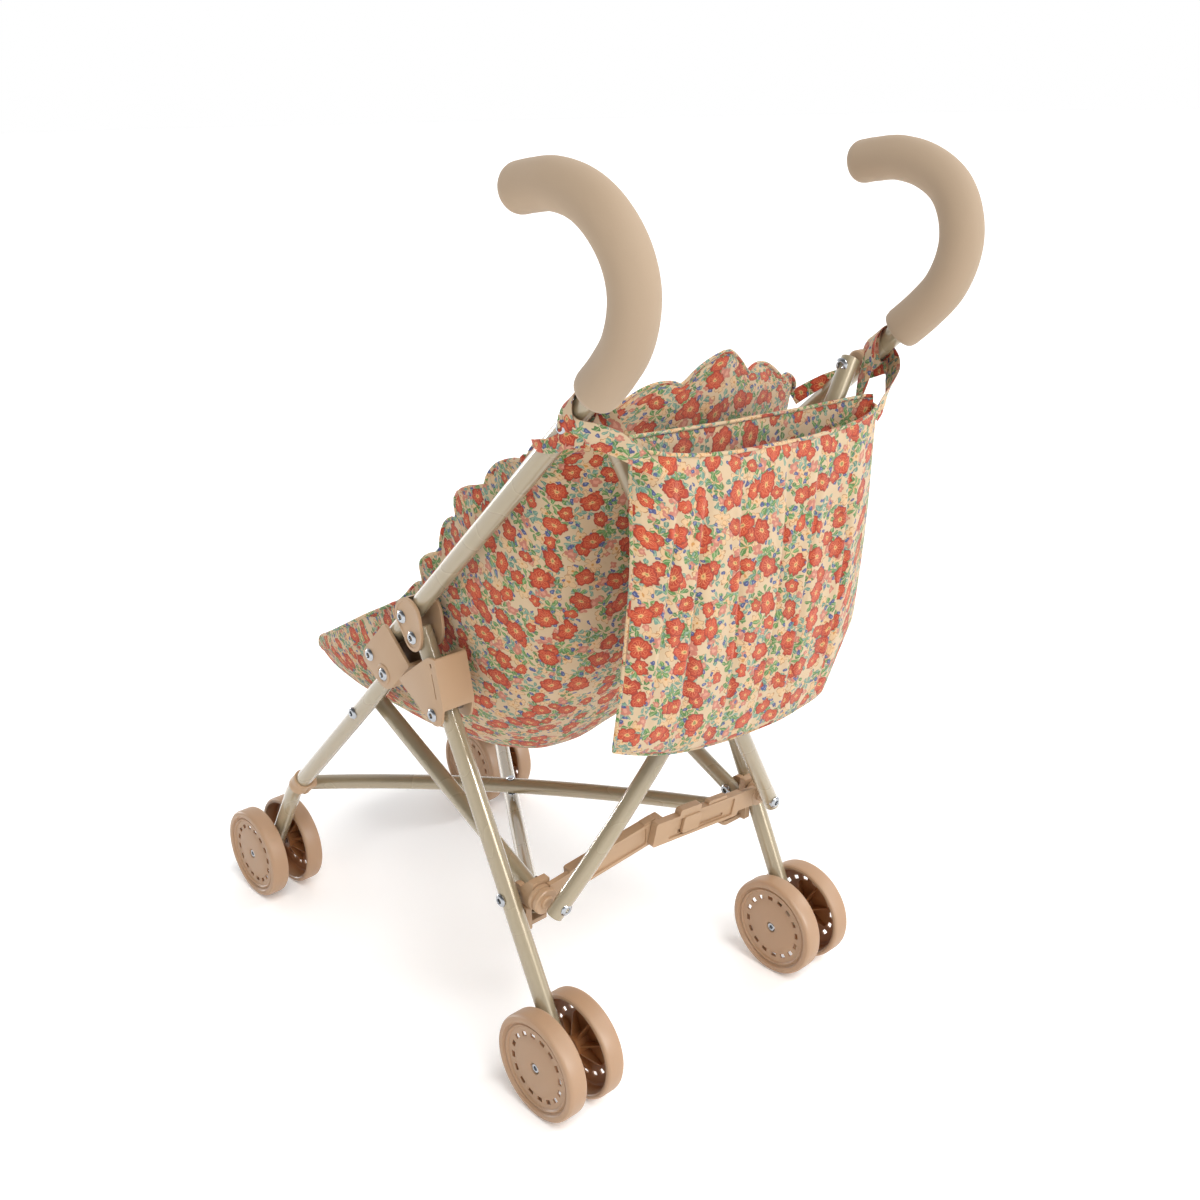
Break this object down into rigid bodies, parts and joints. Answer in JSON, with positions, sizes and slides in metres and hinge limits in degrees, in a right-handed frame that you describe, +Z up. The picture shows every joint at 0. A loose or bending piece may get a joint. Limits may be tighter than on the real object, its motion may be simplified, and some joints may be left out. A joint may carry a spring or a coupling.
{
  "type": "doll stroller",
  "caption": "Folding umbrella stroller for a doll: twin wheels, crossed tube frame, hooked foam handles, sling seat and a rear bag.",
  "frame": {"origin": "on the floor under the middle of the bounding box", "axes": "+Z up, the front towards -Y, the stroller's own left towards +X"},
  "size_m": [0.2802, 0.4806, 0.5569],
  "materials": {
    "paint": "satin",
    "plastic": "satin",
    "foam": "matte",
    "wheel": "satin",
    "steel": "satin",
    "cloth": "woven"
  },
  "bodies": {
    "seat_and_bag": {"seat_middle": "cloth", "left_seat_wing": "cloth", "right_seat_wing": "cloth", "bag": "cloth"},
    "left_handle": {"left_handle_tube": "paint", "left_grip": "foam", "left_hinge_saddle": "plastic", "left_hinge_rivet_upper": "steel", "left_hinge_rivet_lower": "steel", "left_cross_washer": "plastic"},
    "left_front_leg_assembly": {"left_front_leg": "paint", "left_fold_clamp": "plastic", "left_clamp_rivet_upper": "steel", "left_clamp_rivet_lower": "steel", "left_front_clip": "plastic", "left_front_axle": "steel"},
    "left_rear_leg_assembly": {"left_rear_leg": "paint", "left_catch_rivet": "steel", "left_low_rivet": "steel", "left_floor_lug": "plastic", "left_rear_axle": "steel"},
    "left_fold_catch_piece": {"left_fold_catch": "plastic"},
    "left_side_link_piece": {"left_side_link": "paint"},
    "left_rear_bracket_piece": {"left_rear_bracket": "plastic"},
    "left_brace_piece": {"left_brace": "plastic"},
    "left_rear_cross_body": {"left_rear_cross": "paint", "rear_cross_rivet": "steel"},
    "left_floor_cross_body": {"left_floor_cross": "paint"},
    "left_front_wheel_outer_spin": {"left_front_wheel_outer": "wheel"},
    "left_front_wheel_inner_spin": {"left_front_wheel_inner": "wheel"},
    "left_rear_wheel_outer_spin": {"left_rear_wheel_outer": "wheel"},
    "left_rear_wheel_inner_spin": {"left_rear_wheel_inner": "wheel"},
    "right_handle": {"right_handle_tube": "paint", "right_grip": "foam", "right_hinge_saddle": "plastic", "right_hinge_rivet_upper": "steel", "right_hinge_rivet_lower": "steel", "right_cross_washer": "plastic"},
    "right_front_leg_assembly": {"right_front_leg": "paint", "right_fold_clamp": "plastic", "right_clamp_rivet_upper": "steel", "right_clamp_rivet_lower": "steel", "right_front_clip": "plastic", "right_front_axle": "steel"},
    "right_rear_leg_assembly": {"right_rear_leg": "paint", "right_catch_rivet": "steel", "right_low_rivet": "steel", "right_floor_lug": "plastic", "right_rear_axle": "steel"},
    "right_fold_catch_piece": {"right_fold_catch": "plastic"},
    "right_side_link_piece": {"right_side_link": "paint"},
    "right_rear_bracket_piece": {"right_rear_bracket": "plastic"},
    "right_brace_piece": {"right_brace": "plastic"},
    "right_rear_cross_body": {"right_rear_cross": "paint"},
    "right_floor_cross_body": {"right_floor_cross": "paint", "floor_cross_rivet": "steel"},
    "right_front_wheel_outer_spin": {"right_front_wheel_outer": "wheel"},
    "right_front_wheel_inner_spin": {"right_front_wheel_inner": "wheel"},
    "right_rear_wheel_outer_spin": {"right_rear_wheel_outer": "wheel"},
    "right_rear_wheel_inner_spin": {"right_rear_wheel_inner": "wheel"}
  },
  "joints": [
    {"name": "fold", "type": "slide", "parent": "seat_and_bag", "child": "left_handle", "axis": [-1, 0, 0], "range_m": [0, 0.07], "deforming": ["seat_middle", "left_seat_wing", "right_seat_wing", "bag"]},
    {"name": "left_front_leg_hinge", "type": "hinge", "parent": "left_handle", "child": "left_front_leg_assembly", "pos_m": [0.108, -0.02495, 0.2522], "axis": [-1, 0, 0], "range_deg": [0, 73.34]},
    {"name": "left_rear_leg_hinge", "type": "hinge", "parent": "left_handle", "child": "left_rear_leg_assembly", "pos_m": [0.1098, 0.02605, 0.2785], "axis": [-1, 0, 0], "range_deg": [0, 36.75]},
    {"name": "left_side_link_pivot", "type": "hinge", "parent": "left_rear_leg_assembly", "child": "left_side_link_piece", "pos_m": [0.091, 0.09525, 0.126], "axis": [-1, 0, 0], "range_deg": [0, 1.59]},
    {"name": "left_rear_bracket_swivel", "type": "hinge", "parent": "left_rear_leg_assembly", "child": "left_rear_bracket_piece", "pos_m": [0.099, 0.09525, 0.126], "axis": [1, 0, 0], "range_deg": [0, 20.4]},
    {"name": "left_brace_pivot", "type": "hinge", "parent": "left_rear_bracket_piece", "child": "left_brace_piece", "pos_m": [0.0965, 0.11342, 0.12759], "axis": [0, 0.9871, -0.1604], "range_deg": [0, 80.07]},
    {"name": "left_rear_cross_pivot", "type": "hinge", "parent": "left_handle", "child": "left_rear_cross_body", "pos_m": [0.0965, 0.17605, 0.432], "axis": [-0.5638, -0.7881, 0.247], "range_deg": [0, 28.59]},
    {"name": "left_floor_cross_pivot", "type": "hinge", "parent": "left_rear_leg_assembly", "child": "left_floor_cross_body", "pos_m": [0.0865, 0.09205, 0.111], "axis": [-0.5216, 0.0828, 0.8492], "range_deg": [0, 32.61]},
    {"name": "left_catch_release", "type": "hinge", "parent": "left_rear_leg_assembly", "child": "left_fold_catch_piece", "pos_m": [0.1094, 0.04595, 0.235], "axis": [1, 0, 0], "range_deg": [-35, 0]},
    {"name": "left_front_wheel_outer_turn", "type": "hinge", "parent": "left_front_leg_assembly", "child": "left_front_wheel_outer_spin", "pos_m": [0.1053, -0.20585, 0.0345], "axis": [1, 0, 0], "continuous": true},
    {"name": "left_front_wheel_inner_turn", "type": "hinge", "parent": "left_front_leg_assembly", "child": "left_front_wheel_inner_spin", "pos_m": [0.1053, -0.20585, 0.0345], "axis": [1, 0, 0], "continuous": true},
    {"name": "left_rear_wheel_outer_turn", "type": "hinge", "parent": "left_rear_leg_assembly", "child": "left_rear_wheel_outer_spin", "pos_m": [0.107, 0.13805, 0.0345], "axis": [1, 0, 0], "continuous": true},
    {"name": "left_rear_wheel_inner_turn", "type": "hinge", "parent": "left_rear_leg_assembly", "child": "left_rear_wheel_inner_spin", "pos_m": [0.107, 0.13805, 0.0345], "axis": [1, 0, 0], "continuous": true},
    {"name": "fold_right", "type": "slide", "parent": "seat_and_bag", "child": "right_handle", "axis": [1, 0, 0], "range_m": [0, 0.07]},
    {"name": "right_front_leg_hinge", "type": "hinge", "parent": "right_handle", "child": "right_front_leg_assembly", "pos_m": [-0.108, -0.02495, 0.2522], "axis": [-1, 0, 0], "range_deg": [0, 73.34]},
    {"name": "right_rear_leg_hinge", "type": "hinge", "parent": "right_handle", "child": "right_rear_leg_assembly", "pos_m": [-0.1098, 0.02605, 0.2785], "axis": [-1, 0, 0], "range_deg": [0, 36.75]},
    {"name": "right_side_link_pivot", "type": "hinge", "parent": "right_rear_leg_assembly", "child": "right_side_link_piece", "pos_m": [-0.091, 0.09525, 0.126], "axis": [-1, 0, 0], "range_deg": [0, 1.59]},
    {"name": "right_rear_bracket_swivel", "type": "hinge", "parent": "right_rear_leg_assembly", "child": "right_rear_bracket_piece", "pos_m": [-0.099, 0.09525, 0.126], "axis": [1, 0, 0], "range_deg": [0, 20.4]},
    {"name": "right_brace_pivot", "type": "hinge", "parent": "right_rear_bracket_piece", "child": "right_brace_piece", "pos_m": [-0.0965, 0.11342, 0.12759], "axis": [0, -0.9871, 0.1604], "range_deg": [0, 80.07]},
    {"name": "right_rear_cross_pivot", "type": "hinge", "parent": "right_handle", "child": "right_rear_cross_body", "pos_m": [-0.0965, 0.17605, 0.432], "axis": [-0.5638, 0.7881, -0.247], "range_deg": [0, 28.59]},
    {"name": "right_floor_cross_pivot", "type": "hinge", "parent": "right_rear_leg_assembly", "child": "right_floor_cross_body", "pos_m": [-0.0865, 0.09205, 0.111], "axis": [-0.5216, -0.0828, -0.8492], "range_deg": [0, 32.61]},
    {"name": "right_catch_release", "type": "hinge", "parent": "right_rear_leg_assembly", "child": "right_fold_catch_piece", "pos_m": [-0.1094, 0.04595, 0.235], "axis": [1, 0, 0], "range_deg": [-35, 0]},
    {"name": "right_front_wheel_outer_turn", "type": "hinge", "parent": "right_front_leg_assembly", "child": "right_front_wheel_outer_spin", "pos_m": [-0.1053, -0.20585, 0.0345], "axis": [1, 0, 0], "continuous": true},
    {"name": "right_front_wheel_inner_turn", "type": "hinge", "parent": "right_front_leg_assembly", "child": "right_front_wheel_inner_spin", "pos_m": [-0.1053, -0.20585, 0.0345], "axis": [1, 0, 0], "continuous": true},
    {"name": "right_rear_wheel_outer_turn", "type": "hinge", "parent": "right_rear_leg_assembly", "child": "right_rear_wheel_outer_spin", "pos_m": [-0.107, 0.13805, 0.0345], "axis": [1, 0, 0], "continuous": true},
    {"name": "right_rear_wheel_inner_turn", "type": "hinge", "parent": "right_rear_leg_assembly", "child": "right_rear_wheel_inner_spin", "pos_m": [-0.107, 0.13805, 0.0345], "axis": [1, 0, 0], "continuous": true}
  ],
  "couplings": [
    {"joint": "left_front_leg_hinge", "follows": "fold", "rad_per_m": 18.283},
    {"joint": "left_rear_leg_hinge", "follows": "fold", "rad_per_m": 9.1605},
    {"joint": "left_side_link_pivot", "follows": "fold", "rad_per_m": 0.39338},
    {"joint": "left_rear_bracket_swivel", "follows": "fold", "rad_per_m": 5.0849},
    {"joint": "left_brace_pivot", "follows": "fold", "rad_per_m": 19.962},
    {"joint": "left_rear_cross_pivot", "follows": "fold", "rad_per_m": 7.1266},
    {"joint": "left_floor_cross_pivot", "follows": "fold", "rad_per_m": 8.129},
    {"joint": "fold_right", "follows": "fold", "ratio": 1},
    {"joint": "right_front_leg_hinge", "follows": "fold", "rad_per_m": 18.283},
    {"joint": "right_rear_leg_hinge", "follows": "fold", "rad_per_m": 9.1605},
    {"joint": "right_side_link_pivot", "follows": "fold", "rad_per_m": 0.39338},
    {"joint": "right_rear_bracket_swivel", "follows": "fold", "rad_per_m": 5.0849},
    {"joint": "right_brace_pivot", "follows": "fold", "rad_per_m": 19.962},
    {"joint": "right_rear_cross_pivot", "follows": "fold", "rad_per_m": 7.1266},
    {"joint": "right_floor_cross_pivot", "follows": "fold", "rad_per_m": 8.129}
  ]
}
